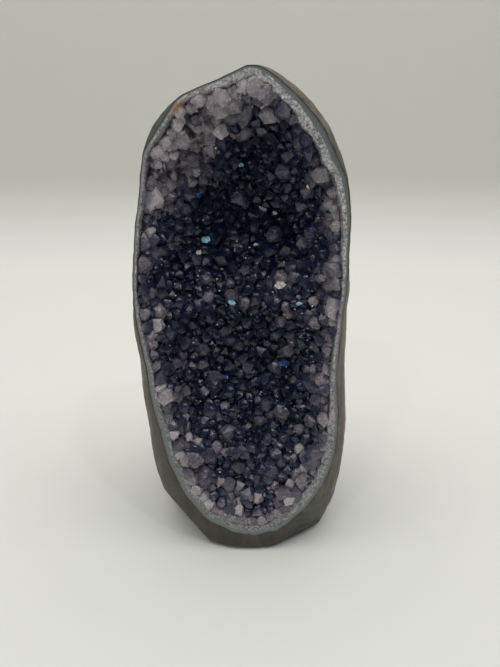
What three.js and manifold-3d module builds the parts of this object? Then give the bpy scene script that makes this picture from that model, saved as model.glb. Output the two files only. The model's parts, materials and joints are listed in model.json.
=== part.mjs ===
// Amethyst geode with a cut base: a basalt nodule sawn off flat below and sliced open in front,
// with a band of agate and a bed of amethyst points inside. Millimetres, +Z up, front towards -Y.
import * as THREE from "three";
import { mergeVertices } from "three/addons/utils/BufferGeometryUtils.js";
import Module from "manifold-3d";

// Driving dimensions
const HEIGHT = 200; // of the sawn front face, base to rim
const FACE_LEAN = THREE.MathUtils.degToRad(10); // the front face leans back by this much
const FACE_FOOT_Z = 9.6; // height at which the front face meets the front of the stone
const GAP = 0.3; // between two layers
const RIND_AT_RIM = 1.4; // thickness of the basalt where it meets the front face
const BAND_AT_RIM = 2.8; // mean width of the agate band on the front face
const QUARTZ_AT_RIM = 3.6; // mean width of the sawn quartz between the band and the points
const BAND_THICKNESS = 4; // of the agate at the back of the hollow
const BED_THICKNESS = 6; // of the quartz that the points grow from
const HOLLOW_CENTRE_Z = 112; // height of the middle of the hollow, on the front face
const FACE_SLENDERNESS = 2.3; // height of the front face over its width
const POINTS = 96; // amethyst points in the bed
const POINT_RADIUS = 6.6; // of a mean point, at its root
const POINT_LENGTH = 9; // of a mean point, root to tip

// The nodule by horizontal sections: height, left, right, front, back, and the exponent of the
// superellipse (2 is an ellipse, more is boxier). The front stands at y 0 here.
const SECTIONS = [
  [0, -38, 39.5, 0.3, 72, 2.0],
  [8, -41.5, 42, -0.2, 75, 2.35],
  [22, -45, 43.6, 0, 78, 2.7],
  [50, -47.2, 44.6, 1, 80, 2.9],
  [90, -48.8, 42.2, 2.2, 80, 2.8],
  [130, -47.4, 40.6, 3, 78, 2.7],
  [160, -42.8, 38.4, 10, 75, 2.6],
  [180, -37.4, 30.6, 18, 69.5, 2.5],
  [191, -27.5, 22.4, 25, 63, 2.4],
  [197, -18.5, 15.5, 29.5, 56.5, 2.3],
  [200, -10, 9, 31.5, 50, 2.2],
  [201.2, -3, 3.5, 33, 44, 2.2],
];
const SECTION_SIDES = 44;
const RING_HEIGHTS = [0, 3, 8, 15, 24, 36, 50, 65, 80, 95, 110, 124, 137, 149, 160, 170, 178, 185, 191,
  195.5, 198.5, 200.3, 201.2];

// Depth of the hollow below the front face, against height along the face: an upper and a lower
// basin with a ridge between them.
const HOLLOW_DEPTHS = [
  [-105, 16],
  [-70, 24],
  [-35, 32],
  [-8, 29],
  [4, 26],
  [18, 32],
  [45, 41],
  [70, 35],
  [95, 20],
];
const BOWL_SIDES = 40;
const BOWL_RINGS = [0.13, 0.28, 0.43, 0.58, 0.73, 0.86, 0.95];

// Flat breaks in the skin: a point on the break and the direction it faces.
const BREAKS = [
  [[34, 8, 6], [0.62, -0.5, -0.6]],
  [[44.5, 30, 14], [0.93, -0.1, -0.36]],
  [[-43, 22, 8], [-0.84, -0.34, -0.42]],
  [[-37.6, 69.4, 44], [-0.66, 0.72, -0.16]],
  [[32, 71.6, 70], [0.55, 0.82, -0.14]],
  [[8, 73.6, 164], [0.1, 0.94, 0.33]],
];
// A ground bevel takes off the upper left corner of the rim: a point on it and its direction.
const BEVEL = [[-37.8, 29.2, 175.1], [-0.744, -0.343, 0.574]];

// Smooth value of one column of a table at x: cubic pieces whose slopes come from the neighbours.
function tableAt(table, column, x) {
  const last = table.length - 1;
  const at = THREE.MathUtils.clamp(x, table[0][0], table[last][0]);
  let i = 0;
  while (i < last - 1 && at > table[i + 1][0]) i++;
  const slope = (k) => {
    const a = table[Math.max(k - 1, 0)];
    const b = table[Math.min(k + 1, last)];
    return (b[column] - a[column]) / (b[0] - a[0]);
  };
  const [p, q] = [table[i], table[i + 1]];
  const width = q[0] - p[0];
  const t = (at - p[0]) / width;
  return (
    p[column] * (1 + 2 * t) * (1 - t) ** 2 +
    slope(i) * width * t * (1 - t) ** 2 +
    q[column] * t * t * (3 - 2 * t) +
    slope(i + 1) * width * t * t * (t - 1)
  );
}

// The nodule's section at a height: its middle and its reach in a direction from that middle.
function sectionAt(z) {
  const [left, right, front, back, power] = [1, 2, 3, 4, 5].map((column) => tableAt(SECTIONS, column, z));
  const [halfX, halfY] = [(right - left) / 2, (back - front) / 2];
  return {
    x: (left + right) / 2,
    y: (front + back) / 2,
    reach(angle) {
      const [c, s] = [Math.abs(Math.cos(angle)) / halfX, Math.abs(Math.sin(angle)) / halfY];
      const behind = Math.max(0, Math.sin(angle));
      const lumps = 0.02 * behind * Math.sin(5 * angle + z / 17) + 0.016 * behind * Math.cos(3 * angle - z / 11);
      return (1 + lumps) / (c ** power + s ** power) ** (1 / power);
    },
  };
}

// A closed solid lofted through rings of points. The first and last rings are single points.
function loft(rings) {
  const sides = rings[1].length;
  const corners = [];
  const triangle = (...points) => points.forEach((p) => corners.push(p.x, p.y, p.z));
  for (let i = 0; i + 1 < rings.length; i++) {
    const [low, high] = [rings[i], rings[i + 1]];
    for (let k = 0; k < sides; k++) {
      const next = (k + 1) % sides;
      if (low.length > 1) triangle(low[k], low[next], high[high.length > 1 ? next : 0]);
      if (high.length > 1) triangle(low[low.length > 1 ? k : 0], high[next], high[k]);
    }
  }
  return new THREE.BufferGeometry().setAttribute("position", new THREE.Float32BufferAttribute(corners, 3));
}

// manifold-3d joins and cuts the lofted shapes.
const wasm = await Module();
wasm.setup();

function solidFrom(geometry) {
  const bare = (geometry.index ? geometry.toNonIndexed() : geometry.clone()).deleteAttribute("normal");
  bare.deleteAttribute("uv");
  const merged = mergeVertices(bare, 1e-4);
  return new wasm.Manifold(
    new wasm.Mesh({
      numProp: 3,
      vertProperties: merged.attributes.position.array,
      triVerts: new Uint32Array(merged.index.array),
    }),
  );
}

function geometryFrom(solid) {
  const mesh = solid.getMesh();
  return new THREE.BufferGeometry()
    .setAttribute("position", new THREE.BufferAttribute(mesh.vertProperties, 3))
    .setIndex(new THREE.BufferAttribute(mesh.triVerts, 1));
}

// A block that fills the space in front of a plane, so that subtracting it saws a solid flat.
const SAW_SIZE = 400;
function saw(point, direction) {
  const normal = new THREE.Vector3(...direction).normalize();
  const turn = new THREE.Quaternion().setFromUnitVectors(new THREE.Vector3(0, 0, 1), normal);
  const block = new THREE.BoxGeometry(SAW_SIZE, SAW_SIZE, SAW_SIZE).translate(0, 0, SAW_SIZE / 2);
  return solidFrom(block.applyQuaternion(turn).translate(...point));
}

// Places on the front face: across it, up it, and down into the stone from it.
const ACROSS = new THREE.Vector3(1, 0, 0);
const UP_FACE = new THREE.Vector3(0, Math.sin(FACE_LEAN), Math.cos(FACE_LEAN));
const INWARD = new THREE.Vector3(0, Math.cos(FACE_LEAN), -Math.sin(FACE_LEAN));
const FACE_CENTRE = new THREE.Vector3(-3.5, (HOLLOW_CENTRE_Z - FACE_FOOT_Z) * Math.tan(FACE_LEAN), HOLLOW_CENTRE_Z);

function onFace(across, up, deep) {
  return FACE_CENTRE.clone().addScaledVector(ACROSS, across).addScaledVector(UP_FACE, up).addScaledVector(INWARD, deep);
}

// Distance from the face's centre to the nodule's skin in a direction on the face.
function rimReach(angle) {
  let [inside, outside] = [0, HEIGHT];
  for (let step = 0; step < 30; step++) {
    const middle = (inside + outside) / 2;
    const p = onFace(middle * Math.cos(angle), middle * Math.sin(angle), 0);
    const section = sectionAt(p.z);
    const [dx, dy] = [p.x - section.x, p.y - section.y];
    const within = p.z > 0 && p.z < SECTIONS.at(-1)[0] && Math.hypot(dx, dy) < section.reach(Math.atan2(dy, dx));
    if (within) inside = middle;
    else outside = middle;
  }
  return inside;
}

// The layers' widths on the face swell and thin around the rim, and are widest at its foot.
const swell = (angle) => 1 + 0.22 * Math.sin(2 * angle + 2.4) - 0.2 * Math.sin(angle) + 0.08 * Math.sin(7 * angle);

// A point of a bowl whose edge lies inset from the rim, at a share of the way from its middle out.
function onBowl(angle, share, inset, lift) {
  const rim = rimReach(angle);
  const out = share * (rim - inset);
  const wall = (1 - share ** 3) ** 0.6;
  const deep = (tableAt(HOLLOW_DEPTHS, 1, share * rim * Math.sin(angle)) - lift) * wall;
  return onFace(out * Math.cos(angle), out * Math.sin(angle), deep);
}

// Turns that are even round a circle become angles that are even along the tall rim.
const alongRim = (turn) => Math.atan2(FACE_SLENDERNESS * Math.sin(turn), Math.cos(turn));
const angles = Array.from({ length: BOWL_SIDES }, (_, k) => alongRim((2 * Math.PI * k) / BOWL_SIDES));
const bowlRing = (share, inset, lift) => angles.map((angle) => onBowl(angle, share, inset(angle), lift));

// Rings of a bowl from its middle out to the face.
function bowl(inset, lift) {
  return [[onBowl(0, 0, 0, lift)], ...[...BOWL_RINGS, 1].map((share) => bowlRing(share, inset, lift))];
}

const insets = {
  rind: () => RIND_AT_RIM,
  bandOutside: () => RIND_AT_RIM + GAP,
  bandInside: (angle) => RIND_AT_RIM + GAP + BAND_AT_RIM * swell(angle),
  bedOutside: (angle) => RIND_AT_RIM + 2 * GAP + BAND_AT_RIM * swell(angle),
  bedInside: (angle) => RIND_AT_RIM + 2 * GAP + (BAND_AT_RIM + QUARTZ_AT_RIM) * swell(angle),
};

// The sawn and ground planes that every layer shares.
const faceSaw = saw(FACE_CENTRE.toArray(), INWARD.clone().negate().toArray());
const bevelSaw = saw(...BEVEL);

// The solid that would fill such a bowl, standing proud of the front face.
function bowlful(inset, lift) {
  const proud = angles.map((angle) => {
    const edge = rimReach(angle) - inset(angle);
    return onFace(edge * Math.cos(angle), edge * Math.sin(angle), -GAP);
  });
  return solidFrom(loft([...bowl(inset, lift), proud, [onFace(0, 0, -GAP)]]));
}

// The basalt: the whole nodule, less its flat breaks, the sawn front and the hollow.
function basaltRind() {
  const rings = RING_HEIGHTS.map((z) => {
    const section = sectionAt(z);
    return Array.from({ length: SECTION_SIDES }, (_, k) => {
      const angle = (2 * Math.PI * k) / SECTION_SIDES;
      const reach = section.reach(angle);
      return new THREE.Vector3(section.x + reach * Math.cos(angle), section.y + reach * Math.sin(angle), z);
    });
  });
  const [foot, top] = [sectionAt(0), sectionAt(HEIGHT)];
  const poleTop = new THREE.Vector3(top.x, top.y, RING_HEIGHTS.at(-1));
  const nodule = solidFrom(loft([[new THREE.Vector3(foot.x, foot.y, 0)], ...rings, [poleTop]]));
  const cuts = [...BREAKS.map((flat) => saw(...flat)), faceSaw, bevelSaw, bowlful(insets.rind, 0)];
  return cuts.reduce((solid, cut) => solid.subtract(cut), nodule);
}

function agateBand() {
  const band = bowlful(insets.bandOutside, GAP).subtract(bowlful(insets.bandInside, BAND_THICKNESS));
  return band.subtract(faceSaw).subtract(bevelSaw);
}

// One amethyst point, a six-sided pyramid standing on z 0.
function crystal(radius, length) {
  return new THREE.ConeGeometry(radius, length, 6).rotateX(Math.PI / 2).translate(0, 0, length / 2);
}

// A repeatable number between 0 and 1 for a point's index and one of its properties.
const chance = (index, property) => THREE.MathUtils.seededRandom(index * 7 + property * 1013 + 5);

// The bed of quartz with its points, which crowd over the hollow and lean a little each way.
const GOLDEN_ANGLE = Math.PI * (3 - Math.sqrt(5));
function amethystDruse() {
  const lift = BAND_THICKNESS + GAP;
  const socket = bowlful(insets.bedOutside, lift);
  const bed = socket.subtract(bowlful(insets.bedInside, lift + BED_THICKNESS));
  const middle = onFace(0, 0, -60);
  const points = Array.from({ length: POINTS }, (_, i) => {
    const share = 0.97 * Math.sqrt((i + 0.5) / POINTS);
    const angle = alongRim(i * GOLDEN_ANGLE);
    const root = onBowl(angle, share, insets.bedInside(angle), lift + BED_THICKNESS);
    const lean = new THREE.Vector3(...[1, 2, 3].map((p) => chance(i, p) - 0.5));
    const axis = middle.clone().sub(root).normalize().addScaledVector(lean, 0.7).normalize();
    const size = 0.8 + 0.6 * chance(i, 4) ** 2;
    const turn = new THREE.Quaternion().setFromUnitVectors(new THREE.Vector3(0, 0, 1), axis);
    const spin = new THREE.Quaternion().setFromAxisAngle(new THREE.Vector3(0, 0, 1), chance(i, 5) * Math.PI);
    const sunk = root.clone().addScaledVector(axis, -POINT_LENGTH * size * 0.2);
    const point = crystal(POINT_RADIUS * size, POINT_LENGTH * size);
    return solidFrom(point.applyQuaternion(turn.multiply(spin)).translate(sunk.x, sunk.y, sunk.z));
  });
  const grown = wasm.Manifold.union([bed, ...points]).intersect(socket);
  // Taking the largest body leaves out any pocket that the points seal between them.
  const bodies = grown.subtract(faceSaw).subtract(bevelSaw).decompose();
  return bodies.reduce((largest, body) => (body.volume() > largest.volume() ? body : largest));
}

const finishes = {
  basalt: { color: 0x5b554a, roughness: 0.8, metalness: 0 },
  agate: { color: 0x66726f, roughness: 0.35, metalness: 0 },
  amethyst: { color: 0x5a5068, roughness: 0.2, metalness: 0 },
};

function piece(name, solid, finish) {
  const mesh = new THREE.Mesh(geometryFrom(solid), new THREE.MeshStandardMaterial(finish));
  mesh.name = name;
  return mesh;
}

const stone = new THREE.Group();
stone.add(
  piece("basalt_rind", basaltRind(), finishes.basalt),
  piece("agate_band", agateBand(), finishes.agate),
  piece("amethyst_druse", amethystDruse(), finishes.amethyst),
);

// The origin is the middle of the stone's footprint, on the surface that it stands on.
const centre = new THREE.Box3().setFromObject(stone, true).getCenter(new THREE.Vector3());
stone.position.set(-centre.x, -centre.y, 0);

const geode = new THREE.Group();
geode.add(stone);
export default geode;
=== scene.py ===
# Amethyst geode with a cut base: a basalt nodule sawn flat below and sliced open in front, with a
# band of agate and a bed of amethyst points inside it. Metres, +Z up, front towards -Y.
import json
import math
import random

import bmesh
import bpy
import numpy as np
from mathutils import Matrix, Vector, noise

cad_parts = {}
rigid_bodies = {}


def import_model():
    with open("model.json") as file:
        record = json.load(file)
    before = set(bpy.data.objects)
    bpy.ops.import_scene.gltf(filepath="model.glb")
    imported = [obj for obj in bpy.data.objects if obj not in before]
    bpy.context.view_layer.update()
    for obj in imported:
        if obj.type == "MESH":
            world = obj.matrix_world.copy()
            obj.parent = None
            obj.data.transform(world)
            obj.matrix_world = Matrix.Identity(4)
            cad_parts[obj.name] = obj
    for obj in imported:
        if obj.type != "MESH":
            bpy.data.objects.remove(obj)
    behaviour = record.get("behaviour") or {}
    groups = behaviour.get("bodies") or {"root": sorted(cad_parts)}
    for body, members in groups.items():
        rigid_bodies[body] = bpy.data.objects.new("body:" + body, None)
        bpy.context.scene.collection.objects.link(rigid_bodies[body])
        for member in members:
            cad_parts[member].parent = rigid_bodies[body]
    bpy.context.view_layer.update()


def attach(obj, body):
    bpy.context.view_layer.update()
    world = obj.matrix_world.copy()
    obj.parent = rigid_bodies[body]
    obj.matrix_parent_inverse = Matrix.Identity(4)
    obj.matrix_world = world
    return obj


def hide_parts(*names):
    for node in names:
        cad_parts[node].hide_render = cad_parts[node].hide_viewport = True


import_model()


# ---------------------------------------------------------------------------------------------
# The place it stands in: a pale table that sweeps up into a grey wall, under one broad ceiling
# light and two small lamps that make the crystals sparkle. Nothing here belongs to the stone.
# ---------------------------------------------------------------------------------------------
scene = bpy.context.scene
scene.view_settings.view_transform = "Standard"

eye = bpy.data.cameras.new("eye")
eye.sensor_width = 36
eye.lens = 27.04
eye.clip_start = 0.01
eye.clip_end = 10
camera = bpy.data.objects.new("camera", eye)
camera.location = (0.0022, -0.2044, 0.197)
camera.rotation_euler = (math.radians(63), 0, 0)
scene.collection.objects.link(camera)
scene.camera = camera


class Wire:
    """An output of a material's node. Arithmetic on it adds Math nodes."""

    def __init__(self, finish, socket):
        self.finish = finish
        self.socket = socket

    def maths(self, operation, *values):
        return self.finish.add("Math", {"operation": operation}, dict(enumerate(values)))

    def __add__(self, other):
        return self.maths("ADD", self, other)

    def __sub__(self, other):
        return self.maths("SUBTRACT", self, other)

    def __mul__(self, other):
        return self.maths("MULTIPLY", self, other)

    __radd__ = __add__
    __rmul__ = __mul__


class Finish:
    """A material. Its add() makes a node from a type, settings and the values of its sockets."""

    def __init__(self, name, **constants):
        self.material = bpy.data.materials.new(name)
        self.material.use_nodes = True
        self.tree = self.material.node_tree
        self.shader = self.tree.nodes["Principled BSDF"]
        self.place = self.add("TexCoord", {}, {}, "Object")
        for socket, value in constants.items():
            self.shader.inputs[socket.replace("_", " ")].default_value = value

    def add(self, kind, settings, sockets, output=0):
        node = self.tree.nodes.new("ShaderNode" + kind)
        for name, value in settings.items():
            if name == "stops":
                self.set_stops(node.color_ramp, value)
            else:
                setattr(node, name, value)
        for name, value in sockets.items():
            self.feed(node.inputs[name], value)
        return Wire(self, node.outputs[output])

    def feed(self, socket, value):
        if isinstance(value, Wire):
            self.tree.links.new(value.socket, socket)
        else:
            socket.default_value = value

    def set_stops(self, ramp, stops):
        while len(ramp.elements) < len(stops):
            ramp.elements.new(0.5)
        for element, (place, colour) in zip(ramp.elements, stops):
            element.position = place
            element.color = (*colour, 1)

    def grain(self, size, detail=3, harsh=0.5, stretch=(1, 1, 1)):
        """Noise from 0 to 1 with features of a size in millimetres, stretched along an axis."""
        scale = tuple(1 / s for s in stretch)
        place = self.add("Mapping", {}, {"Vector": self.place, "Scale": scale})
        sockets = {"Vector": place, "Scale": 1000 / size, "Detail": detail, "Roughness": harsh}
        return self.add("TexNoise", {}, sockets, "Fac")

    def ease(self, value, low, high, start=0, end=1):
        """A smooth step of value from start to end."""
        settings = {"interpolation_type": "SMOOTHSTEP"}
        sockets = {"Value": value, "From Min": low, "From Max": high, "To Min": start, "To Max": end}
        return self.add("MapRange", settings, sockets)

    def ramp(self, value, stops):
        return self.add("ValToRGB", {"stops": stops}, {"Fac": value}, "Color")

    def blend(self, share, first, second, way="MIX"):
        """Colours mixed by a share; plain colours are given as three numbers."""
        first, second = [c if isinstance(c, Wire) else (*c, 1) for c in (first, second)]
        settings = {"data_type": "RGBA", "blend_type": way, "clamp_factor": True}
        return self.add("Mix", settings, {0: share, 6: first, 7: second}, 2)

    def own(self, name):
        """A value stored on the mesh."""
        return self.add("Attribute", {"attribute_name": name}, {}, "Fac")

    def bump(self, height, distance, strength=1.0):
        """Relief of a distance in millimetres."""
        sockets = {"Height": height, "Distance": distance / 1000, "Strength": strength}
        self.feed(self.shader.inputs["Normal"], self.add("Bump", {}, sockets))


FLOOR_REACH = 1.3
WALL_AT = 0.34
WALL_TOP = 1.2
SWEEP = 0.09
HALF_WIDE = 1.6

room = Finish("pale_sweep", Roughness=0.9)
height = room.add("SeparateXYZ", {}, {"Vector": room.place}, "Z")
room_colour = room.blend(room.ease(height, 0.0, 0.1), (0.80, 0.80, 0.765), (0.73, 0.73, 0.68))
room.feed(room.shader.inputs["Base Color"], room_colour)

sweep_profile = [(-FLOOR_REACH, 0), (WALL_AT, 0)]
for step in range(1, 25):
    turn = math.pi / 2 * step / 24
    sweep_profile.append((WALL_AT + SWEEP * math.sin(turn), SWEEP * (1 - math.cos(turn))))
sweep_profile.append((WALL_AT + SWEEP, WALL_TOP))
sweep_mesh = bpy.data.meshes.new("sweep")
sweep_mesh.from_pydata(
    [(x, y, z) for y, z in sweep_profile for x in (-HALF_WIDE, HALF_WIDE)],
    [],
    [(2 * i, 2 * i + 1, 2 * i + 3, 2 * i + 2) for i in range(len(sweep_profile) - 1)],
)
for face in sweep_mesh.polygons:
    face.use_smooth = True
sweep_mesh.materials.append(room.material)
sweep = bpy.data.objects.new("sweep", sweep_mesh)
scene.collection.objects.link(sweep)

sky = bpy.data.worlds.new("sky")
sky.use_nodes = True
sky.node_tree.nodes["Background"].inputs["Color"].default_value = (0.93, 0.96, 1.0, 1)
sky.node_tree.nodes["Background"].inputs["Strength"].default_value = 0.13
scene.world = sky


def lamp(name, place, towards, size, power, colour):
    """A flat lamp in metres and watts."""
    light = bpy.data.lights.new(name, "AREA")
    light.shape = "RECTANGLE"
    light.size, light.size_y = size
    light.energy = power
    light.color = colour
    holder = bpy.data.objects.new(name, light)
    holder.location = place
    holder.rotation_euler = (Vector(towards) - Vector(place)).to_track_quat("-Z", "Y").to_euler()
    scene.collection.objects.link(holder)


lamp("ceiling", (0, 0.08, 1.15), (0, 0.08, 0), (2.4, 0.95), 16.6, (1.0, 0.99, 0.97))
lamp("spark_left", (-0.35, -0.55, 0.9), (0, 0, 0.1), (0.03, 0.03), 0.5, (1.0, 0.98, 0.94))
lamp("spark_right", (0.3, -0.3, 0.95), (0, 0, 0.1), (0.03, 0.03), 0.5, (0.9, 0.96, 1.0))


# ---------------------------------------------------------------------------------------------
# Basalt rind: the skin of the nodule that the crystals grew in. It is brown-grey volcanic rock,
# worn smooth, sawn off flat below and in front, ground to a bevel at the upper left of the rim
# and flaked at its foot.
# ---------------------------------------------------------------------------------------------
STONE_MIDDLE = np.array((2.15, -40.38, 0.0))  # moves the sections over the middle of the footprint
TOP = 201.2
LEAN = math.radians(10)  # the sawn front leans back
FACE_FOOT = 9.6  # height of the front's lowest point on the stone

# Horizontal sections: height, left, right, front, back, exponent of the superellipse.
SECTIONS = [
    (0, -38, 39.5, -0.5, 72, 2.0),
    (3.5, -40.6, 41.2, -0.9, 73.8, 2.2),
    (8, -41.5, 42, -0.25, 75, 2.35),
    (22, -45, 43.6, 0, 78, 2.9),
    (50, -47.2, 44.6, 1, 80, 3.3),
    (90, -48.8, 42.2, 2.2, 80, 3.0),
    (130, -47.4, 40.6, 3, 78, 2.7),
    (160, -42.8, 38.4, 10, 75, 2.6),
    (180, -37.4, 30.6, 18, 69.5, 2.5),
    (191, -26, 21.4, 25, 63, 2.4),
    (197, -11.5, 13, 29.5, 56.5, 2.3),
    (200, -4, 7.5, 31.5, 50, 2.2),
    (201.2, -1, 3.5, 33, 44, 2.2),
]
# Flat breaks in the skin: a point on the break and the direction that it faces.
BREAKS = [
    ((-27, 15, 0), (-0.74, -0.55, -0.45)),
    ((22, 8, 0), (0.5, -0.87, -0.5)),
    ((34, 8, 6), (0.62, -0.5, -0.6)),
    ((44.5, 30, 14), (0.93, -0.1, -0.36)),
    ((-43, 22, 8), (-0.84, -0.34, -0.42)),
    ((-37.6, 69.4, 44), (-0.66, 0.72, -0.16)),
    ((32, 71.6, 70), (0.55, 0.82, -0.14)),
    ((8, 73.6, 164), (0.1, 0.94, 0.33)),
]
# The ground bevel at the upper left of the rim, given in the same way.
BEVEL = ((-32.5, 30.4, 182.0), (-0.523, -0.69, 0.501))
CLEANNESS = 0.97  # share of the rock proud of a break that came away
FLANK_TRIM = 0.034  # the straight flanks are this share narrower
# Shallow shell-shaped flakes: the middle of the hollow each one leaves, and its radius.
FLAKES = [
    ((50, 2, 15), 13),
    ((36, -12, 3), 12.5),
    ((-56, 30, 78), 9),
    ((52, 62, 40), 12),
    ((-20, 92, 120), 16),
]


def smooth_table(table, column, x):
    """Smooth value of a column of a table at x, with slopes taken from the neighbours."""
    last = len(table) - 1
    at = min(max(x, table[0][0]), table[last][0])
    i = 0
    while i < last - 1 and at > table[i + 1][0]:
        i += 1

    def slope(k):
        a, b = table[max(k - 1, 0)], table[min(k + 1, last)]
        return (b[column] - a[column]) / (b[0] - a[0])

    p, q = table[i], table[i + 1]
    width = q[0] - p[0]
    t = (at - p[0]) / width
    ends = p[column] * (1 + 2 * t) * (1 - t) ** 2 + q[column] * t * t * (3 - 2 * t)
    return ends + slope(i) * width * t * (1 - t) ** 2 + slope(i + 1) * width * t * t * (t - 1)


def uneven(points, size, seed):
    """Noise of about -1 to 1 at points in millimetres, with features of a size."""
    shift = Vector((17.3, 5.1, 9.7)) * seed
    return np.array([noise.noise(Vector(p) / size + shift) for p in points.reshape(-1, 3)])


def unit(vector):
    vector = np.array(vector, float)
    return vector / np.linalg.norm(vector)


def add_piece(name, points, faces, finish):
    """A mesh object from points in millimetres."""
    mesh = bpy.data.meshes.new(name)
    mesh.from_pydata((np.asarray(points) * 0.001).tolist(), [], faces)
    mesh.materials.append(finish)
    piece = bpy.data.objects.new(name, mesh)
    scene.collection.objects.link(piece)
    return piece


ACROSS = np.array((1.0, 0.0, 0.0))
UP_FACE = np.array((0.0, math.sin(LEAN), math.cos(LEAN)))
INWARD = np.array((0.0, math.cos(LEAN), -math.sin(LEAN)))
HOLLOW_Z = 112  # height of the middle of the hollow, on the front face
FACE_MIDDLE = np.array((-3.5, (HOLLOW_Z - FACE_FOOT) * math.tan(LEAN), HOLLOW_Z)) + STONE_MIDDLE

SKIN_TURNS = 340
turns = np.linspace(0, 2 * math.pi, SKIN_TURNS, endpoint=False)
# The rows of the skin lie closer together at the flaked foot and over the crown.
foot_rows = np.linspace(0, 8, 17)[:-1]
flank_rows = np.linspace(8, 180, 180)
crown_rows = 180 + (TOP - 180) * np.sin(np.linspace(0.03, 1, 46) * math.pi / 2)
heights = np.concatenate((foot_rows, flank_rows, crown_rows))
skin = np.zeros((len(heights), SKIN_TURNS, 3))
for row, z in enumerate(heights):
    left, right, front, back, power = [smooth_table(SECTIONS, c, z) for c in range(1, 6)]
    # Slow lumps round the back, and a squarer corner at the lower right of the front.
    behind = np.maximum(0, np.sin(turns))
    lumps = 0.02 * behind * np.sin(5 * turns + z / 17) + 0.016 * behind * np.cos(3 * turns - z / 11)
    across = np.abs(np.cos(turns)) * 2 / (right - left)
    along = np.abs(np.sin(turns)) * 2 / (back - front)
    corner = np.where(np.cos(turns) > 0, power + 0.7 * math.exp(-(((z - 50) / 26) ** 2)), power)
    reach = (1 + lumps) / (across**corner + along**corner) ** (1 / corner)
    skin[row, :, 1] = (front + back) / 2 + reach * np.sin(turns)
    skin[row, :, 2] = z
    # The flanks run straight back from the sawn front, except beside the crown on the right.
    cut = min(0.9, abs(((z - FACE_FOOT) * math.tan(LEAN) - (front + back) / 2) * 2 / (back - front)))
    narrow = (1 - cut**power) ** (1 / power)
    on_left = np.cos(turns) < 0
    left_share = np.clip((z - 90) / 30, 0, 1)
    right_share = np.clip((z - 112) / 22, 0, 1) * np.clip((176 - z) / 14, 0, 1)
    straight = np.where(on_left, left_share, right_share)
    limit = 1 - (1 - narrow) * straight
    wide = np.clip(reach * np.cos(turns) * 2 / (right - left) / limit, -1.0, 1.0)
    skin[row, :, 0] = (left + right) / 2 + wide * (right - left) / 2 * (1 - FLANK_TRIM * straight)
    # The lowest edge is worn in a little.
    tuck = 0.1 * max(0, 1 - z / 3) ** 2
    skin[row, :, :2] += (skin[row, :, :2].mean(0) - skin[row, :, :2]) * tuck

# The skin's relief: its height, its size, how fast it changes up the stone, and its seed. These
# are broad dimples, upright flutes and roughness. Small pits are sunk into them.
RELIEF = [(0.45, 15, 1, 1), (0.3, 5.5, 0.22, 2), (0.16, 3.2, 1, 3)]
round_it = np.roll(skin, -1, 1) - np.roll(skin, 1, 1)
up_it = np.gradient(skin, axis=0)
outward = np.cross(round_it, up_it)
outward /= np.linalg.norm(outward, axis=2, keepdims=True) + 1e-9
flat_skin = skin.reshape(-1, 3)
relief = sum(high * uneven(flat_skin * (1, 1, flute), size, seed) for high, size, flute, seed in RELIEF)
relief -= 0.5 * np.maximum(0, uneven(flat_skin, 2.4, 4) - 0.42)
relief *= np.clip(flat_skin[:, 2] / 4, 0, 1) * np.clip((205 - flat_skin[:, 2]) / 18, 0, 1)
skin += outward * relief.reshape(len(heights), SKIN_TURNS, 1)

flat_skin = skin.reshape(-1, 3)
for place, direction in [*BREAKS, BEVEL]:
    direction = unit(direction)
    proud = np.maximum(0, (flat_skin - np.array(place)) @ direction)
    level = direction * (1, 1, direction[2] > 0)
    flat_skin -= (proud * CLEANNESS / (level @ level))[:, None] * level
for place, radius in FLAKES:
    apart = flat_skin - np.array(place)
    distance = np.linalg.norm(apart, axis=1)
    sunk = np.maximum(0, radius - distance)
    flat_skin += apart / distance[:, None] * sunk[:, None]
broken = uneven(flat_skin, 4.0, 5) * 0.12 + uneven(flat_skin, 1.6, 6) * 0.05
flat_skin[:, 2] = np.maximum(flat_skin[:, 2], 0)
flat_skin += outward.reshape(-1, 3) * (broken * np.clip(flat_skin[:, 2] / 3, 0, 1))[:, None]
flat_skin += STONE_MIDDLE

BASE_RINGS = 10
foot_ring = flat_skin[:SKIN_TURNS].copy()
foot_middle = foot_ring.mean(0)
skin_points = [*flat_skin]
for ring in range(1, BASE_RINGS):
    skin_points += [*(foot_ring + (foot_middle - foot_ring) * ring / BASE_RINGS)]
skin_points += [foot_middle, flat_skin[-SKIN_TURNS:].mean(0)]
skin_faces = []
for row in range(len(heights) - 1):
    for k in range(SKIN_TURNS):
        a, b = row * SKIN_TURNS + k, row * SKIN_TURNS + (k + 1) % SKIN_TURNS
        skin_faces.append((a, b, b + SKIN_TURNS, a + SKIN_TURNS))
base_rows = [0, *[(len(heights) + ring - 1) * SKIN_TURNS for ring in range(1, BASE_RINGS)]]
for outer, inner in zip(base_rows, base_rows[1:]):
    for k in range(SKIN_TURNS):
        n = (k + 1) % SKIN_TURNS
        skin_faces.append((outer + n, outer + k, inner + k, inner + n))
foot_pole, top_pole = len(skin_points) - 2, len(skin_points) - 1
last_row = (len(heights) - 1) * SKIN_TURNS
for k in range(SKIN_TURNS):
    n = (k + 1) % SKIN_TURNS
    skin_faces.append((base_rows[-1] + n, base_rows[-1] + k, foot_pole))
    skin_faces.append((last_row + k, last_row + n, top_pole))

basalt = Finish("basalt", Roughness=0.55, IOR=1.5)
rind = add_piece("basalt_rind_worn", skin_points, skin_faces, basalt.material)

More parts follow.
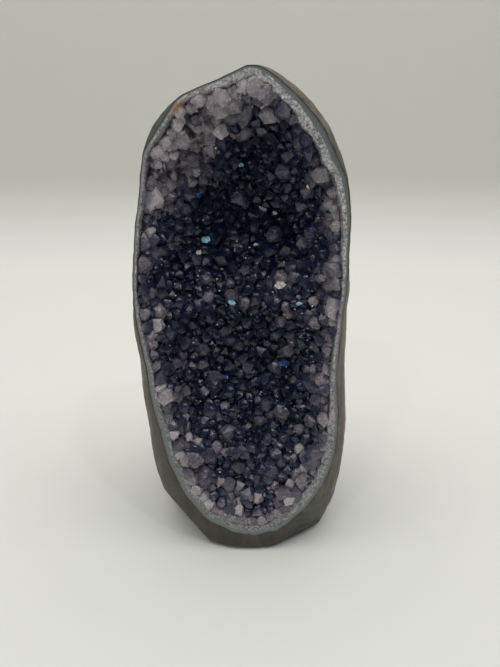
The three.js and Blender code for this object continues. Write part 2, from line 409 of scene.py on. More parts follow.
# The front is sawn off, which leaves an open rim.
saw_work = bmesh.new()
saw_work.from_mesh(rind.data)
bmesh.ops.bisect_plane(
    saw_work,
    geom=[*saw_work.verts, *saw_work.edges, *saw_work.faces],
    plane_co=FACE_MIDDLE * 0.001,
    plane_no=-INWARD,
    clear_outer=True,
)
rim_corners = sorted(
    {v for e in saw_work.edges if len(e.link_faces) == 1 for v in e.verts},
    key=lambda v: math.atan2(
        float((np.array(v.co) * 1000 - FACE_MIDDLE) @ UP_FACE),
        float((np.array(v.co) * 1000 - FACE_MIDDLE) @ ACROSS),
    ),
)
rim = np.array([v.co for v in rim_corners]) * 1000 - FACE_MIDDLE
rim_angles = np.arctan2(rim @ UP_FACE, rim @ ACROSS)
rim_reaches = np.hypot(rim @ UP_FACE, rim @ ACROSS)
ROUND = np.linspace(-math.pi, math.pi, 1440, endpoint=False)
rim_round = np.interp(ROUND, rim_angles, rim_reaches, period=2 * math.pi)


def soften(values, width):
    """A closed row of values averaged over a number of neighbours."""
    kernel = np.hanning(2 * width + 1)
    padded = np.concatenate((values[-width:], values, values[:width]))
    return np.convolve(padded, kernel / kernel.sum(), "valid")


def by_angle(table, angles):
    """Value of a table of degrees and amounts at angles round the face."""
    degrees = np.degrees(angles) % 360
    return np.interp(degrees, [t[0] for t in table], [t[1] for t in table], period=360)


def inset(widths):
    """Reach from the face's middle to a line that runs inside the rim by the widths."""
    calm = soften(rim_round, 6)
    x, y = calm * np.cos(ROUND), calm * np.sin(ROUND)
    dx, dy = [soften(np.roll(v, -3) - np.roll(v, 3), 10) for v in (x, y)]
    long = np.hypot(dx, dy)
    x, y = x - dy / long * widths, y + dx / long * widths
    angles, reaches = np.arctan2(y, x), np.hypot(x, y)
    order = np.argsort(angles)
    return np.interp(ROUND, angles[order], reaches[order], period=2 * math.pi)


def reach_at(line, angles):
    """Reach of a line round the face at some angles."""
    return np.interp(angles, ROUND, line, period=2 * math.pi)


# Depth of the hollow below the front face against height along the face.
HOLLOW = [(-105, 16), (-70, 24), (-35, 32), (-8, 29), (4, 26), (18, 32), (45, 41), (70, 35), (95, 20)]
hollow_ups = np.linspace(-110, 100, 211)
hollow_depths = np.array([smooth_table(HOLLOW, 1, u) for u in hollow_ups])


def on_face(across, up, deep):
    """Points given by their place on the front face and their depth below it."""
    shape = np.broadcast(across, up, deep).shape
    across, up, deep = [np.broadcast_to(v, shape)[..., None] for v in (across, up, deep)]
    return FACE_MIDDLE + across * ACROSS + up * UP_FACE + deep * INWARD


def bowl_ring(angles, line, share, lift):
    """A ring of the hollow's wall at a share of the way from its middle out to a line."""
    out = share * reach_at(line, angles)
    along_face = share * reach_at(rim_round, angles) * np.sin(angles)
    deep = (np.interp(along_face, hollow_ups, hollow_depths) - lift) * (1 - share**3) ** 0.6
    return on_face(out * np.cos(angles), out * np.sin(angles), deep)


# Rings down the hollow's wall, as shares of the way out, where a thicker layer covers it.
HIDDEN_SHARES = [0.96, 0.88, 0.77, 0.64, 0.5, 0.36, 0.22, 0.1]
# Width of the rind's sawn edge by angle round the face.
RIND_WIDTHS = [(0, 0.35), (60, 0.45), (100, 0.25), (150, 0.3), (200, 0.45), (270, 0.4), (330, 0.4)]
rind_line = inset(by_angle(RIND_WIDTHS, ROUND))

rings = [bowl_ring(rim_angles, rind_line, 1, 0)]
rings += [bowl_ring(rim_angles, rind_line, share, 0) for share in HIDDEN_SHARES]
ring_before = rim_corners
for ring in rings:
    ring_now = [saw_work.verts.new(p * 0.001) for p in ring]
    for k in range(len(ring_now)):
        n = (k + 1) % len(ring_now)
        saw_work.faces.new((ring_before[k], ring_before[n], ring_now[n], ring_now[k]))
    ring_before = ring_now
pole = saw_work.verts.new(bowl_ring(np.zeros(1), rind_line, 0, 0)[0] * 0.001)
for k in range(len(ring_before)):
    saw_work.faces.new((ring_before[k], ring_before[(k + 1) % len(ring_before)], pole))
bmesh.ops.recalc_face_normals(saw_work, faces=saw_work.faces)
saw_work.to_mesh(rind.data)
saw_work.free()


def shade(piece, angle):
    """Smooth shading that keeps edges sharper than an angle in degrees."""
    piece.data.polygons.foreach_set("use_smooth", [True] * len(piece.data.polygons))
    piece.data.set_sharp_from_angle(angle=math.radians(angle))


shade(rind, 32)

# Worn brown skin over a grey-green heart that shows where the stone is ground or freshly flaked.
# Painted shade makes the skin darker towards the foot and on the undercut break that faces down.
above_table = basalt.add("SeparateXYZ", {}, {"Vector": basalt.place}, "Z")
mottle = basalt.grain(9, 4, 0.6)
streaks = basalt.grain(2.6, 5, 0.65, (1, 1, 9))
speckle = basalt.grain(0.55, 2, 0.6)
worn_skin_and_foot_shade = basalt.ramp(
    mottle * 0.55 + streaks * 0.45,
    [(0.36, (0.024, 0.019, 0.012)), (0.48, (0.076, 0.064, 0.043)), (0.60, (0.165, 0.147, 0.110))],
)
worn_skin_and_foot_shade = basalt.blend(basalt.ease(speckle, 0.56, 0.70) * 0.5, worn_skin_and_foot_shade, (0.26, 0.245, 0.215))
worn_skin_and_foot_shade = basalt.blend(basalt.ease(speckle, 0.42, 0.33) * 0.65, worn_skin_and_foot_shade, (0.030, 0.026, 0.020))
# Painted shade: the skin is darker towards the foot, where less light reaches.
worn_skin_and_foot_shade = basalt.blend(basalt.ease(above_table, 0.0, 0.06, 0.45, 0.0), worn_skin_and_foot_shade, (0.022, 0.020, 0.016))
fresh = basalt.ramp(streaks, [(0.3, (0.022, 0.032, 0.030)), (0.7, (0.075, 0.090, 0.080))])


def patch(name, spot, direction):
    """Where the skin lies on one flat break: 1 on it, 0 off it."""
    direction = unit(direction)
    facing = [polygon.normal.dot(Vector(direction)) for polygon in rind.data.polygons]
    rind.data.attributes.new(name, "FLOAT", "FACE").data.foreach_set("value", facing)
    distance = float((np.array(spot) + STONE_MIDDLE) @ direction) * 0.001
    dot = {"operation": "DOT_PRODUCT"}
    along = basalt.add("VectorMath", dot, {0: basalt.place, 1: direction}, "Value")
    return basalt.ease(along - distance, -0.0012, -0.0005) * basalt.ease(basalt.own(name), 0.88, 0.96)


rightward = basalt.add("SeparateXYZ", {}, {"Vector": basalt.place}, "X")
worn_skin_and_foot_shade = basalt.blend(basalt.ease(rightward, 0.02, -0.03) * 0.6, worn_skin_and_foot_shade, (0.036, 0.027, 0.014))
skin_colour = basalt.blend(patch("faces_bevel", *BEVEL), worn_skin_and_foot_shade, fresh)
# Painted shade: the flat break at the lower right of the foot faces down and is painted darker.
shaded_undercut = basalt.blend(1.0, fresh, (0.45, 0.45, 0.42), "MULTIPLY")
skin_colour = basalt.blend(patch("faces_undercut", *BREAKS[1]), skin_colour, shaded_undercut)
basalt.feed(basalt.shader.inputs["Base Color"], skin_colour)
basalt.feed(basalt.shader.inputs["Roughness"], basalt.ease(mottle, 0.3, 0.7, 0.42, 0.62))
basalt.bump(streaks * 0.5 + speckle * 0.3 + basalt.grain(1.4, 3, 0.6) * 0.4, 0.4, 0.7)

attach(rind, "root")
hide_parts("basalt_rind")


# ---------------------------------------------------------------------------------------------
# Agate band: the first layer laid down inside the rind, a few millimetres of grey-green
# chalcedony in fine bands. The saw cut through it and left it flat and half polished.
# ---------------------------------------------------------------------------------------------
# Width of the band by angle round the face.
BAND_WIDTHS = [
    (0, 0.6),
    (30, 0.8),
    (45, 1.2),
    (60, 1.9),
    (72, 1.9),
    (82, 1.0),
    (92, 0.5),
    (112, 0.4),
    (125, 0.6),
    (150, 0.6),
    (185, 0.6),
    (206, 0.9),
    (228, 1.5),
    (250, 2.0),
    (268, 1.8),
    (285, 1.6),
    (300, 1.2),
    (330, 0.8),
]
AROUND = 560
SLENDER = 2.3  # height of the face over its width
even = np.linspace(-math.pi, math.pi, AROUND, endpoint=False)
around = np.arctan2(SLENDER * np.sin(even), np.cos(even))
# How far the band is lit up by pale quartz behind it, by angle.
LIGHTNESS = [
    (0, 0.45),
    (40, 0.2),
    (60, 0.05),
    (85, 0.3),
    (115, 0.9),
    (180, 0.8),
    (206, 0.5),
    (250, 0.2),
    (290, 0.15),
    (330, 0.4),
]
wobble = uneven(on_face(rim_round * np.cos(ROUND), rim_round * np.sin(ROUND), 0), 6, 11)
band_widths = by_angle(BAND_WIDTHS, ROUND) * (1 + 0.35 * wobble)
rind_widths = by_angle(RIND_WIDTHS, ROUND)
band_line = inset(rind_widths + band_widths)


def loft(name, rings, poles, finish):
    """A closed mesh through rings of points with a pole at each end."""
    sides = len(rings[0])
    points = [*np.concatenate(rings), *poles]
    faces = []
    for i in range(len(rings) - 1):
        for k in range(sides):
            n = (k + 1) % sides
            faces.append((i * sides + k, i * sides + n, (i + 1) * sides + n, (i + 1) * sides + k))
    first, last = len(points) - 2, len(points) - 1
    end = (len(rings) - 1) * sides
    for k in range(sides):
        n = (k + 1) % sides
        faces.append((k, first, n))
        faces.append((end + k, end + n, last))
    piece = add_piece(name, points, faces, finish)
    work = bmesh.new()
    work.from_mesh(piece.data)
    bmesh.ops.recalc_face_normals(work, faces=work.faces)
    work.to_mesh(piece.data)
    work.free()
    return piece


def store(piece, name, values):
    """A value for each corner point of a mesh."""
    piece.data.attributes.new(name, "FLOAT", "POINT").data.foreach_set("value", values)


STRIP_ROWS = 9
agate = Finish("agate", Roughness=0.3, IOR=1.54)
band_rings = [bowl_ring(around, rind_line, share, 0.3) for share in reversed(HIDDEN_SHARES)]
for row in range(STRIP_ROWS):
    share = row / (STRIP_ROWS - 1)
    reach = reach_at(rind_line, around) * (1 - share) + reach_at(band_line, around) * share
    strip = on_face(reach * np.cos(around), reach * np.sin(around), 0.0)
    relief = 0.05 + 0.05 * uneven(strip, 1.2, 21) + 0.06 * uneven(strip, 4, 22)
    strip += np.maximum(0.0, relief)[:, None] * INWARD
    band_rings.append(strip)
band_rings += [bowl_ring(around, band_line, share, 4) for share in HIDDEN_SHARES]
band_poles = [bowl_ring(np.zeros(1), band_line, 0, lift)[0] for lift in (0.3, 4)]
band = loft("agate_band_banded", band_rings, band_poles, agate.material)
layer = [0.0] * len(HIDDEN_SHARES) + [r / (STRIP_ROWS - 1) for r in range(STRIP_ROWS)]
layer += [1.0] * len(HIDDEN_SHARES)
store(band, "layer", np.concatenate((np.repeat(layer, AROUND), (0.0, 1.0))).astype(np.float32))
light = np.append(np.tile(by_angle(LIGHTNESS, around), len(band_rings)), (0.5, 0.5))
store(band, "lightness", light.astype(np.float32))
shade(band, 40)

layer = agate.own("layer")
ripple = agate.grain(5, 3, 0.55)
bands = (layer + ripple * 0.5) * 34
bands = bands.maths("SINE", bands) * 0.5 + 0.5
cloud = agate.grain(2.2, 4, 0.6)
sugar = agate.grain(0.35, 2, 0.6)
depth_colour = agate.ramp(
    layer,
    [(0.0, (0.070, 0.085, 0.080)), (0.35, (0.120, 0.150, 0.146)), (0.9, (0.165, 0.185, 0.186))],
)
agate_colour = agate.blend(bands * 0.4, depth_colour, (0.24, 0.285, 0.285))
agate_colour = agate.blend(agate.ease(cloud, 0.50, 0.72) * 0.5, agate_colour, (0.055, 0.075, 0.080))
agate_colour = agate.blend(agate.ease(sugar, 0.58, 0.72) * 0.4, agate_colour, (0.42, 0.44, 0.43))
agate_colour = agate.blend(agate.own("lightness") * 0.7, agate_colour, (0.36, 0.37, 0.365))
agate.feed(agate.shader.inputs["Base Color"], agate_colour)
agate.feed(agate.shader.inputs["Roughness"], agate.ease(cloud, 0.3, 0.7, 0.22, 0.45))
agate.bump(bands * 0.3 + sugar * 0.7, 0.05, 0.6)

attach(band, "root")
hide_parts("agate_band")


# ---------------------------------------------------------------------------------------------
# Quartz bed: coarse white to lilac quartz that lines the agate and carries the points. Where the
# saw went through it, it is flat, sugary and speckled, and its inner edge follows the crystals.
# Down among the points it is painted almost black: painted shade in the gaps between them.
# ---------------------------------------------------------------------------------------------
# Width of the sawn quartz by angle round the face.
QUARTZ_WIDTHS = [
    (0, 0.7),
    (30, 1.1),
    (45, 1.6),
    (60, 2.6),
    (72, 3.0),
    (88, 2.0),
    (102, 0.8),
    (120, 0.4),
    (140, 0.4),
    (180, 0.4),
    (206, 0.8),
    (228, 1.1),
    (250, 1.6),
    (270, 2.4),
    (288, 3.2),
    (303, 2.9),
    (322, 1.8),
    (340, 1.0),
]
BED_LIFT = 10.3  # thickness of the bed over the rind
# How white the sawn quartz is by angle.
WHITENESS = [
    (0, 0.6),
    (30, 1.0),
    (60, 1.15),
    (85, 1.0),
    (120, 0.8),
    (180, 0.7),
    (206, 0.45),
    (250, 0.28),
    (290, 0.4),
    (325, 0.6),
]
ragged = uneven(on_face(rim_round * np.cos(ROUND), rim_round * np.sin(ROUND), 0), 3.2, 31)
quartz_widths = by_angle(QUARTZ_WIDTHS, ROUND) * (1 + 0.45 * ragged)
bed_line = inset(rind_widths + band_widths + quartz_widths)

quartz = Finish("sawn_quartz", Roughness=0.3, IOR=1.54)
RUST_PLACE = on_face(-24.2, 78.4, 1.0) * 0.001


def stain(finish, colour):
    """Iron rust that soaked into the quartz at one place on the rim."""
    apart = finish.add("VectorMath", {"operation": "DISTANCE"}, {0: finish.place, 1: RUST_PLACE}, "Value")
    blotch = finish.ease(apart + finish.grain(1.5) * 0.004, 0.0068, 0.0042)
    return finish.blend(blotch * 0.75, colour, (0.56, 0.31, 0.09))


SAWN_ROWS = 16
BED_ROWS = 44
bed_rings = [bowl_ring(around, band_line, share, 4.3) for share in reversed(HIDDEN_SHARES)]
for row in range(SAWN_ROWS):
    share = row / (SAWN_ROWS - 1)
    reach = reach_at(band_line, around) * (1 - share) + reach_at(bed_line, around) * share
    strip = on_face(reach * np.cos(around), reach * np.sin(around), 0.0)
    relief = 0.10 + 0.16 * uneven(strip, 0.9, 32) + 0.10 * uneven(strip, 2.5, 33)
    strip += (np.maximum(0.0, relief) * (0.4 + 0.6 * share))[:, None] * INWARD
    bed_rings.append(strip)
bed_surface = []
for row in range(1, BED_ROWS):
    share = (1 - row / BED_ROWS) ** 0.8
    ring = bowl_ring(around, bed_line, share, BED_LIFT)
    swell = 0.9 * uneven(ring, 7, 34) + 0.5 * uneven(ring, 2.6, 35)
    ring += (swell * min(1, row / 5))[:, None] * INWARD
    bed_rings.append(ring)
    bed_surface.append(ring)
bed_poles = [bowl_ring(np.zeros(1), band_line, 0, 4.3)[0], bowl_ring(np.zeros(1), bed_line, 0, BED_LIFT)[0]]
bed = loft("quartz_bed", bed_rings, bed_poles, quartz.material)
hidden_rows = len(HIDDEN_SHARES)
sunken = [0.0] * hidden_rows + [0.0] * SAWN_ROWS + [1.0] * (BED_ROWS - 1)
store(bed, "sunken", np.concatenate((np.repeat(sunken, AROUND), (0.0, 1.0))).astype(np.float32))
rows_of_bed = len(bed_rings)
white = np.append(np.tile(by_angle(WHITENESS, around), rows_of_bed), (0.5, 0.5))
store(bed, "whiteness", white.astype(np.float32))
shade(bed, 60)

grit = quartz.grain(0.95, 4, 0.75)
milk = quartz.grain(3.0, 3, 0.6)
sawn_colour = quartz.ramp(
    grit * 0.7 + milk * 0.3,
    [
        (0.36, (0.110, 0.110, 0.125)),
        (0.46, (0.340, 0.335, 0.345)),
        (0.54, (0.620, 0.610, 0.610)),
        (0.64, (1.000, 0.980, 0.980)),
    ],
)
# Painted shade: the sunken bed between the points is painted almost black, as the gaps are in shade.
bed_gap_shade = quartz.blend(milk, (0.010, 0.011, 0.020), (0.045, 0.042, 0.060))
grey = quartz.blend(1.0, sawn_colour, (0.30, 0.30, 0.325), "MULTIPLY")
sawn_colour = quartz.blend(quartz.own("whiteness"), grey, sawn_colour)
quartz_colour = quartz.blend(quartz.own("sunken"), sawn_colour, bed_gap_shade)
quartz_colour = stain(quartz, quartz_colour)
quartz.feed(quartz.shader.inputs["Base Color"], quartz_colour)
quartz.feed(quartz.shader.inputs["Roughness"], quartz.ease(grit, 0.3, 0.7, 0.18, 0.5))
quartz.bump(grit, 0.25, 0.8)

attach(bed, "root")
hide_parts("amethyst_druse")


# ---------------------------------------------------------------------------------------------
# Amethyst points: six-sided quartz crystals that crowd over the bed, each a short prism under a
# blunt pyramid. They are smoky violet and paler near the rim, and those that reach the front were
# sawn off flush with it. Painted shade makes them darker at their roots and deep down, almost
# black in the two basins; the paler colour on the ridge and at the top is partly painted light.
# ---------------------------------------------------------------------------------------------
amethyst = Finish("amethyst", Roughness=0.3, IOR=1.54, Transmission_Weight=0.35)
chance = random.Random(7)


def point_shape():
    """A blunt crystal one unit in radius: its points, how far each has risen to the tip, its faces."""
    tip = np.array((chance.uniform(-0.25, 0.25), chance.uniform(-0.25, 0.25), chance.uniform(0.95, 1.15)))
    corners = []
    for k in range(6):
        turn = math.pi / 3 * k + chance.uniform(-0.15, 0.15)
        wide = chance.uniform(0.82, 1.08)
        corners.append((wide * math.cos(turn), wide * math.sin(turn), chance.uniform(0.15, 0.55)))
    corners = np.array(corners)
    rings = [corners * (0.8, 0.8, 0) - (0, 0, 0.4), corners]
    for share, rise in ((0.1, 0.16), (0.66, 0.8)):
        rings.append(corners + (tip - corners) * (share, share, rise))
    points = np.concatenate([*rings, tip[None]])
    rises = [0.0] * 6 + [0.4] * 6 + [0.5] * 6 + [0.9] * 6 + [1.0]
    faces = [tuple(range(5, -1, -1))]
    for k in range(6):
        n = (k + 1) % 6
        faces += [(k + 6 * i, n + 6 * i, n + 6 * i + 6, k + 6 * i + 6) for i in range(3)]
        faces.append((k + 18, n + 18, 24))
    return points, rises, faces


SHAPES = 8
shapes = bpy.data.collections.new("point_shapes")
for number in range(SHAPES):
    points, rises, faces = point_shape()
    shape = add_piece(f"point_shape_{number}", points, faces, amethyst.material)
    store(shape, "rise", rises)
    scene.collection.objects.unlink(shape)
    shapes.objects.link(shape)

crust_faces = []
for i in range(len(bed_surface) - 1):
    for k in range(AROUND):
        n = (k + 1) % AROUND
        corner = i * AROUND
        crust_faces.append((corner + k, corner + n, corner + AROUND + n, corner + AROUND + k))
crust = add_piece("crust", np.concatenate(bed_surface), crust_faces, amethyst.material)
crust_work = bmesh.new()
crust_work.from_mesh(crust.data)
bmesh.ops.recalc_face_normals(crust_work, faces=crust_work.faces)
crust_work.faces.ensure_lookup_table()
if sum(f.normal.dot(Vector(-INWARD)) for f in crust_work.faces) < 0:
    bmesh.ops.reverse_faces(crust_work, faces=crust_work.faces)
crust_work.to_mesh(crust.data)
crust_work.free()

growth = bpy.data.node_groups.new("grow_points", "GeometryNodeTree")
inputs = {}
for name, kind in [
    ("Bed", "NodeSocketGeometry"),
    ("Shapes", "NodeSocketCollection"),
    ("Spacing", "NodeSocketFloat"),
    ("Smallest", "NodeSocketFloat"),
    ("Largest", "NodeSocketFloat"),
    ("Tilt", "NodeSocketFloat"),
    ("Seed", "NodeSocketInt"),
    ("Finish", "NodeSocketMaterial"),
]:
    inputs[name] = growth.interface.new_socket(name, in_out="INPUT", socket_type=kind).identifier
growth.interface.new_socket("Points", in_out="OUTPUT", socket_type="NodeSocketGeometry")
given = growth.nodes.new("NodeGroupInput")


def grow(kind, settings, sockets):
    """A node of the growth tree; sockets take values or the outputs of other nodes."""
    node = growth.nodes.new(kind)
    for name, value in settings.items():
        setattr(node, name, value)
    for name, value in sockets.items():
        if isinstance(value, bpy.types.NodeSocket):
            growth.links.new(value, node.inputs[name])
        else:
            node.inputs[name].default_value = value
    return node


spread = grow(
    "GeometryNodeDistributePointsOnFaces",
    {"distribute_method": "POISSON"},
    {
        "Mesh": given.outputs["Bed"],
        "Distance Min": given.outputs["Spacing"],
        "Density Max": 4e6,
        "Seed": given.outputs["Seed"],
    },
)
scaled = {"operation": "SCALE"}
lean_most = grow("ShaderNodeVectorMath", scaled, {0: (1, 1, 1), "Scale": given.outputs["Tilt"]})
lean_least = grow("ShaderNodeVectorMath", scaled, {0: lean_most.outputs[0], "Scale": -1.0})
lean = grow(
    "FunctionNodeRandomValue",
    {"data_type": "FLOAT_VECTOR"},
    {0: lean_least.outputs[0], 1: lean_most.outputs[0], "Seed": 3},
)
axis = grow("ShaderNodeVectorMath", {"operation": "ADD"}, {0: spread.outputs["Normal"], 1: lean.outputs[0]})
stand = grow("FunctionNodeAlignRotationToVector", {"axis": "Z"}, {"Vector": axis.outputs[0]})
spin = grow("FunctionNodeRandomValue", {"data_type": "FLOAT"}, {2: 0.0, 3: 6.2832, "Seed": 4})
spin_turn = grow("FunctionNodeAxisAngleToRotation", {}, {"Axis": (0, 0, 1), "Angle": spin.outputs[1]})
turned = grow(
    "FunctionNodeRotateRotation",
    {"rotation_space": "LOCAL"},
    {"Rotation": stand.outputs[0], "Rotate By": spin_turn.outputs[0]},
)
lot = grow("FunctionNodeRandomValue", {"data_type": "FLOAT"}, {2: 0.0, 3: 1.0, "Seed": 5})
rare = grow("ShaderNodeMath", {"operation": "POWER"}, {0: lot.outputs[1], 1: 2.2})
size = grow(
    "ShaderNodeMapRange",
    {},
    {"Value": rare.outputs[0], "To Min": given.outputs["Smallest"], "To Max": given.outputs["Largest"]},
)
vigour = grow("GeometryNodeInputNamedAttribute", {"data_type": "FLOAT"}, {"Name": "vigour"})
size = grow("ShaderNodeMath", {"operation": "MULTIPLY"}, {0: size.outputs[0], 1: vigour.outputs[0]})
taller = grow("FunctionNodeRandomValue", {"data_type": "FLOAT"}, {2: 0.75, 3: 1.35, "Seed": 6})
tall = grow("ShaderNodeMath", {"operation": "MULTIPLY"}, {0: size.outputs[0], 1: taller.outputs[1]})
scale = grow(
    "ShaderNodeCombineXYZ", {}, {"X": size.outputs[0], "Y": size.outputs[0], "Z": tall.outputs[0]}
)
shape_set = grow(
    "GeometryNodeCollectionInfo", {}, {"Collection": given.outputs["Shapes"], "Separate Children": True}
)
pick = grow("FunctionNodeRandomValue", {"data_type": "INT"}, {4: 0, 5: SHAPES - 1, "Seed": 8})
planted = grow(
    "GeometryNodeInstanceOnPoints",
    {},
    {
        "Points": spread.outputs["Points"],
        "Instance": shape_set.outputs[0],
        "Pick Instance": True,
        "Instance Index": pick.outputs[2],
        "Rotation": turned.outputs[0],
        "Scale": scale.outputs[0],
    },
)
root_place = grow("GeometryNodeInputPosition", {}, {})
rooted = grow(
    "GeometryNodeStoreNamedAttribute",
    {"data_type": "FLOAT_VECTOR", "domain": "INSTANCE"},
    {"Geometry": planted.outputs[0], "Name": "root", "Value": root_place.outputs[0]},
)
luck = grow("FunctionNodeRandomValue", {"data_type": "FLOAT"}, {2: 0.0, 3: 1.0, "Seed": 9})
lucky = grow(
    "GeometryNodeStoreNamedAttribute",
    {"data_type": "FLOAT", "domain": "INSTANCE"},
    {"Geometry": rooted.outputs[0], "Name": "luck", "Value": luck.outputs[1]},
)
solid = grow("GeometryNodeRealizeInstances", {}, {"Geometry": lucky.outputs[0]})
painted = grow(
    "GeometryNodeSetMaterial", {}, {"Geometry": solid.outputs[0], "Material": given.outputs["Finish"]}
)
grow("NodeGroupOutput", {}, {0: painted.outputs[0]})

# Points near the rim grow larger than those in the basins.
crust_points = np.concatenate(bed_surface) - FACE_MIDDLE
crust_out = np.hypot(crust_points @ ACROSS, crust_points @ UP_FACE)
crust_edge = reach_at(bed_line, np.arctan2(crust_points @ UP_FACE, crust_points @ ACROSS))
store(crust, "vigour", (1.0 + 0.12 * np.exp(-(crust_edge - crust_out) / 6)).astype(np.float32))


def crop(name, spacing, smallest, largest, tilt, seed):
    """A crop of points on the bed, as a plain mesh."""
    grower = crust.modifiers.new("grow", "NODES")
    grower.node_group = growth
    values = {
        "Shapes": shapes,
        "Spacing": spacing,
        "Smallest": smallest,
        "Largest": largest,
        "Tilt": tilt,
        "Seed": seed,
        "Finish": amethyst.material,
    }
    for key, value in values.items():
        grower[inputs[key]] = value
    crust.update_tag()
    grown = crust.evaluated_get(bpy.context.evaluated_depsgraph_get())
    mesh = bpy.data.meshes.new_from_object(grown)
    crust.modifiers.remove(grower)
    piece = bpy.data.objects.new(name, mesh)
    scene.collection.objects.link(piece)
    return piece


crops = [
    crop("amethyst_points_large", 0.0043, 2.8, 4.8, 0.45, 1),
    crop("amethyst_points_small", 0.0028, 1.3, 2.3, 0.55, 2),
]

# Where the crystals turn paler or darker: place across and up the face, spread, and how much paler.
# The darker places over the two deep basins are painted shade. The paler ones at the top, the upper
# left and the ridge are partly the crystals' own colour and partly painted light.
TONES = [
    (-20, 64, 13, 0.66),
    (-28, 46, 9, 0.3),
    (0, 90, 11, 0.80),
    (24, 66, 9, 0.12),
    (4, 68, 11, -0.34),
    (4, 40, 15, -0.26),
    (-14, 20, 14, -0.12),
    (14, 7, 8, 0.18),
    (-12, 7, 8, 0.16),
    (30, 12, 8, 0.18),
    (-4, -16, 12, -0.10),
    (12, -42, 11, 0.08),
    (-8, -50, 10, -0.12),
    (-2, -84, 14, 0.20),
    (26, -68, 8, 0.26),
    (-24, -60, 8, 0.24),
    (34, 40, 7, 0.12),
]
RIM_REACH = 5  # how far in from the rim the crystals stay pale


def paleness(across, up, deep, luck):
    """How pale a crystal is: by luck, paler beside the rim, with painted shade darker deep down, then by
    the tones, partly painted light and shade.
    """
    margin = reach_at(bed_line, np.arctan2(up, across)) - np.hypot(across, up)
    pale = 0.26 + 0.56 * (luck - 0.5) + 0.22 * (luck > 0.9)
    # Paler beside the rim; darker the deeper the root lies, as painted shade.
    pale = pale + 0.50 * np.exp(-margin / RIM_REACH) - 0.008 * deep
    for x, y, spread, change in TONES:
        pale = pale + change * np.exp(-((across - x) ** 2 + (up - y) ** 2) / (2 * spread**2))
    return pale


def finish_crop(piece):
    """Keeps the points inside the band, saws them flush with the front and tells how pale they are."""
    mesh = piece.data
    count = len(mesh.vertices)
    points = np.zeros(count * 3)
    mesh.vertices.foreach_get("co", points)
    points = points.reshape(-1, 3) * 1000 - FACE_MIDDLE
    roots = np.zeros(count * 3)
    mesh.attributes["root"].data.foreach_get("vector", roots)
    roots = roots.reshape(-1, 3) * 1000 - FACE_MIDDLE
    luck = np.zeros(count)
    mesh.attributes["luck"].data.foreach_get("value", luck)
    across, up, depth = points @ ACROSS, points @ UP_FACE, points @ INWARD
    out = np.hypot(across, up)
    kept = np.minimum(1, (reach_at(band_line, np.arctan2(up, across)) - 0.1) / out)
    saw_depth = 0.03 + 0.12 * ((luck * 7.3) % 1)
    sawn = depth < saw_depth
    depth = np.where(sawn, saw_depth, depth)
    points = on_face(across * kept, up * kept, depth)
    mesh.vertices.foreach_set("co", (points * 0.001).ravel())
    pale = paleness(roots @ ACROSS, roots @ UP_FACE, roots @ INWARD, luck)
    pale = np.where(sawn, np.maximum(pale, 0.6 + 0.3 * ((luck * 5.1) % 1)), pale)
    store(piece, "pale", np.clip(pale, 0, 1).astype(np.float32))
    mesh.update()
    shade(piece, 33)


for piece in crops:
    finish_crop(piece)

# Crystals that stand out from the rest: place across and up the face, width, how pale they are.
NOTABLE = [
    (11, 75, 7.5, 0.75),
    (17, 56, 7.4, 0.52),
    (27, 48, 7.2, 0.52),
    (14, 30, 7.8, 0.44),
    (26, 27, 7.2, 0.58),
    (-23, 67, 7.6, 0.85),
    (-20, 61, 7.0, 0.62),
    (-10, 78, 6.6, 0.85),
    (-15, 12, 6.1, 0.56),
    (22, 13, 6.9, 0.56),
    (-22, 32, 6.0, 0.30),
    (-24, 41, 5.2, 0.50),
    (-32, 55, 6.0, 0.55),
    (36, 19, 5.0, 0.80),
    (8, 82, 7.4, 0.85),
    (-22, -67, 9.8, 0.72),
    (27, -76, 8.0, 0.76),
    (19, -83, 8.0, 0.68),
    (33, -34, 6.7, 0.34),
    (31, -50, 7.0, 0.60),
    (17, -6, 5.8, 0.60),
    (-13, -37, 7.3, 0.38),
    (18, -49, 8.0, 0.55),
    (-4, -66, 7.2, 0.40),
    (-6, -91, 6.0, 0.42),
    (2, -87, 5.6, 0.38),
    (-17, -76, 7.2, 0.52),
    (-35, -6, 6.6, 0.56),
    (-29, -24, 6.2, 0.56),
    (25, -40, 6.4, 0.40),
]


def bed_depth(across, up):
    """Depth of the bed below the front at a place on the face."""
    angle = math.atan2(up, across)
    share = min(1, math.hypot(across, up) / float(reach_at(bed_line, angle)))
    along_face = share * float(reach_at(rim_round, angle)) * math.sin(angle)
    return (float(np.interp(along_face, hollow_ups, hollow_depths)) - BED_LIFT) * (1 - share**3) ** 0.6


def standing(across, up, deep, radius, length, lean_by, squeeze=(0.85, 1.0)):
    """Points and faces of one crystal that stands on the bed and looks out of the hollow."""
    points, rises, faces = point_shape()
    aside = ACROSS * chance.uniform(-lean_by, lean_by)
    axis = unit(-INWARD + aside - UP_FACE * chance.uniform(-lean_by, lean_by))
    side = unit(np.cross(axis, (0, 0, 1)))
    points = points * (radius, radius * chance.uniform(*squeeze), length)
    root = FACE_MIDDLE + across * ACROSS + up * UP_FACE + deep * INWARD
    points = root + points[:, :1] * side + points[:, 1:2] * np.cross(axis, side) + points[:, 2:] * axis
    inward = np.maximum(0, 0.05 - (points - FACE_MIDDLE) @ INWARD)
    return points + inward[:, None] * INWARD, rises, faces


def join(crystals):
    """One list of points, rises and faces from several crystals."""
    points, rises, faces = [], [], []
    for some_points, some_rises, some_faces in crystals:
        faces += [tuple(k + len(points) for k in face) for face in some_faces]
        points += [*some_points]
        rises += some_rises
    return points, rises, faces


ROOT_LIFT = 2.2  # height of their roots above the bed
notable = [
    standing(across, up, bed_depth(across, up) - ROOT_LIFT, width * 0.56, width * 0.5, 0.35)
    for across, up, width, pale in NOTABLE
]
points, rises, faces = join(notable)
stand_out = add_piece("amethyst_points_notable", points, faces, amethyst.material)
store(stand_out, "rise", rises)
store(stand_out, "pale", np.repeat([n[3] for n in NOTABLE], len(notable[0][0])).astype(np.float32))
shade(stand_out, 33)
crops.append(stand_out)

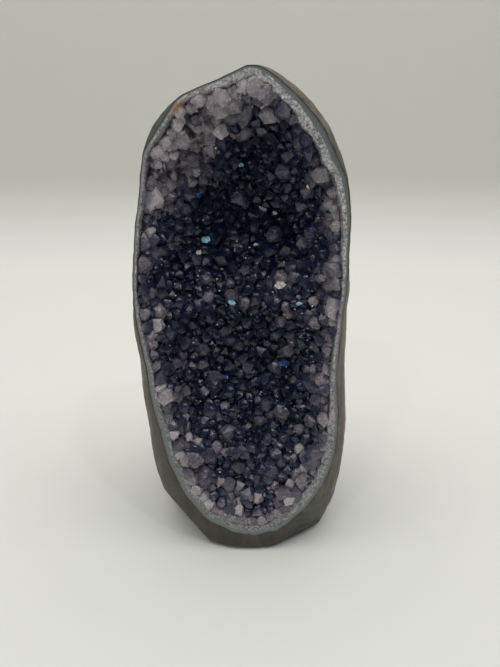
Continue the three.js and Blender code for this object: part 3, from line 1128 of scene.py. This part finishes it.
pale = amethyst.own("pale")
rise = amethyst.own("rise")
veil = amethyst.grain(1.3, 3, 0.6)
dust = amethyst.grain(0.35, 2, 0.6)
cloud = amethyst.grain(3.4, 2, 0.5)
body = amethyst.ramp(
    pale + veil * 0.34 + cloud * 0.3 + dust * 0.16 - 0.40,
    [
        (0.00, (0.003, 0.009, 0.038)),
        (0.20, (0.011, 0.020, 0.062)),
        (0.45, (0.060, 0.064, 0.118)),
        (0.68, (0.205, 0.183, 0.226)),
        (0.84, (0.490, 0.435, 0.468)),
        (1.00, (0.860, 0.780, 0.815)),
    ],
)
# Painted shade: each point is darker at its root, down among its neighbours.
root_shade_colour = amethyst.blend(1.0, body, (0.36, 0.40, 0.52), "MULTIPLY")
body = amethyst.blend(amethyst.ease(rise, 0.1, 0.5), root_shade_colour, body)
edge_line = amethyst.ease(rise, 0.40, 0.46) * amethyst.ease(rise, 0.56, 0.50)
body = amethyst.blend(edge_line * 0.12, body, (0.30, 0.29, 0.33))
speck = amethyst.ease(amethyst.grain(0.28, 1, 0.5), 0.70, 0.76)
body = amethyst.blend(speck * 0.6, body, (0.75, 0.73, 0.72))
amethyst.feed(amethyst.shader.inputs["Base Color"], stain(amethyst, body))
amethyst.feed(amethyst.shader.inputs["Roughness"], amethyst.ease(veil, 0.3, 0.7, 0.14, 0.34))
amethyst.bump(veil * 0.6 + dust * 0.4, 0.12, 0.6)

bpy.data.objects.remove(crust)
for shape in list(shapes.objects):
    bpy.data.objects.remove(shape)
bpy.data.collections.remove(shapes)

for piece in crops:
    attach(piece, "root")
    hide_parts("amethyst_druse")


# ---------------------------------------------------------------------------------------------
# Glints: painted highlights, bright fixed colours on a few small facets that stand out of the
# hollow. Most are white; some are blue or teal, painted for light that has passed through deeply
# coloured quartz.
# ---------------------------------------------------------------------------------------------
# Painted glint colour, then the place across and up the face and the width of each larger facet.
GLINTS = {
    "glint_light_blue": ((0.42, 0.80, 1.0), [(-15, 28, 3.2), (6, 26, 1.9), (-4, 3, 2.5), (24, 3, 2.2)]),
    "glint_blue": ((0.015, 0.11, 0.45), [(-18, 46, 2.1), (29, 33, 2.2), (18, -26, 3.2), (-7, -33, 1.6)]),
    "glint_teal": ((0.20, 0.55, 0.52), [(36, 41, 2.4), (0, 58, 1.8), (27, -44, 2.3), (30, -16, 1.8)]),
    "glint_white": ((1.0, 0.95, 0.84), [(-18, 23, 2.1), (14, 39, 1.8), (16, 10, 3.8), (27, 50, 2.4)]),
}
FACET_LIFT = 4.6  # height of the larger facets above the bed
SPECKS = 90  # tiny facets painted as white glints besides the larger ones
SPECK_LIFT = 3.6
SPECK_REACH = 0.93  # share of the way out to the rim
for name, (colour, places) in GLINTS.items():
    shine = Finish(name, Roughness=0.2, IOR=1.54)
    tint = shine.grain(0.9, 2, 0.5)
    dim = tuple(c * 0.45 for c in colour)
    shine.feed(shine.shader.inputs["Base Color"], shine.blend(shine.ease(tint, 0.35, 0.6), dim, colour))
    spots = [(across, up, size, FACET_LIFT) for across, up, size in places]
    if name == "glint_white":
        for _ in range(SPECKS):
            turn = chance.uniform(-math.pi, math.pi)
            out = math.sqrt(chance.random()) * SPECK_REACH * float(reach_at(bed_line, turn))
            size = chance.uniform(0.35, 0.8)
            spots.append((out * math.cos(turn), out * math.sin(turn), size, SPECK_LIFT))
    facets = [
        standing(across, up, bed_depth(across, up) - lift, size * 0.7, size * 0.2, 0.5, (0.5, 0.8))
        for across, up, size, lift in spots
    ]
    points, rises, faces = join(facets)
    glint = add_piece(name, points, faces, shine.material)
    shade(glint, 20)
    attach(glint, "root")
    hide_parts("amethyst_druse")
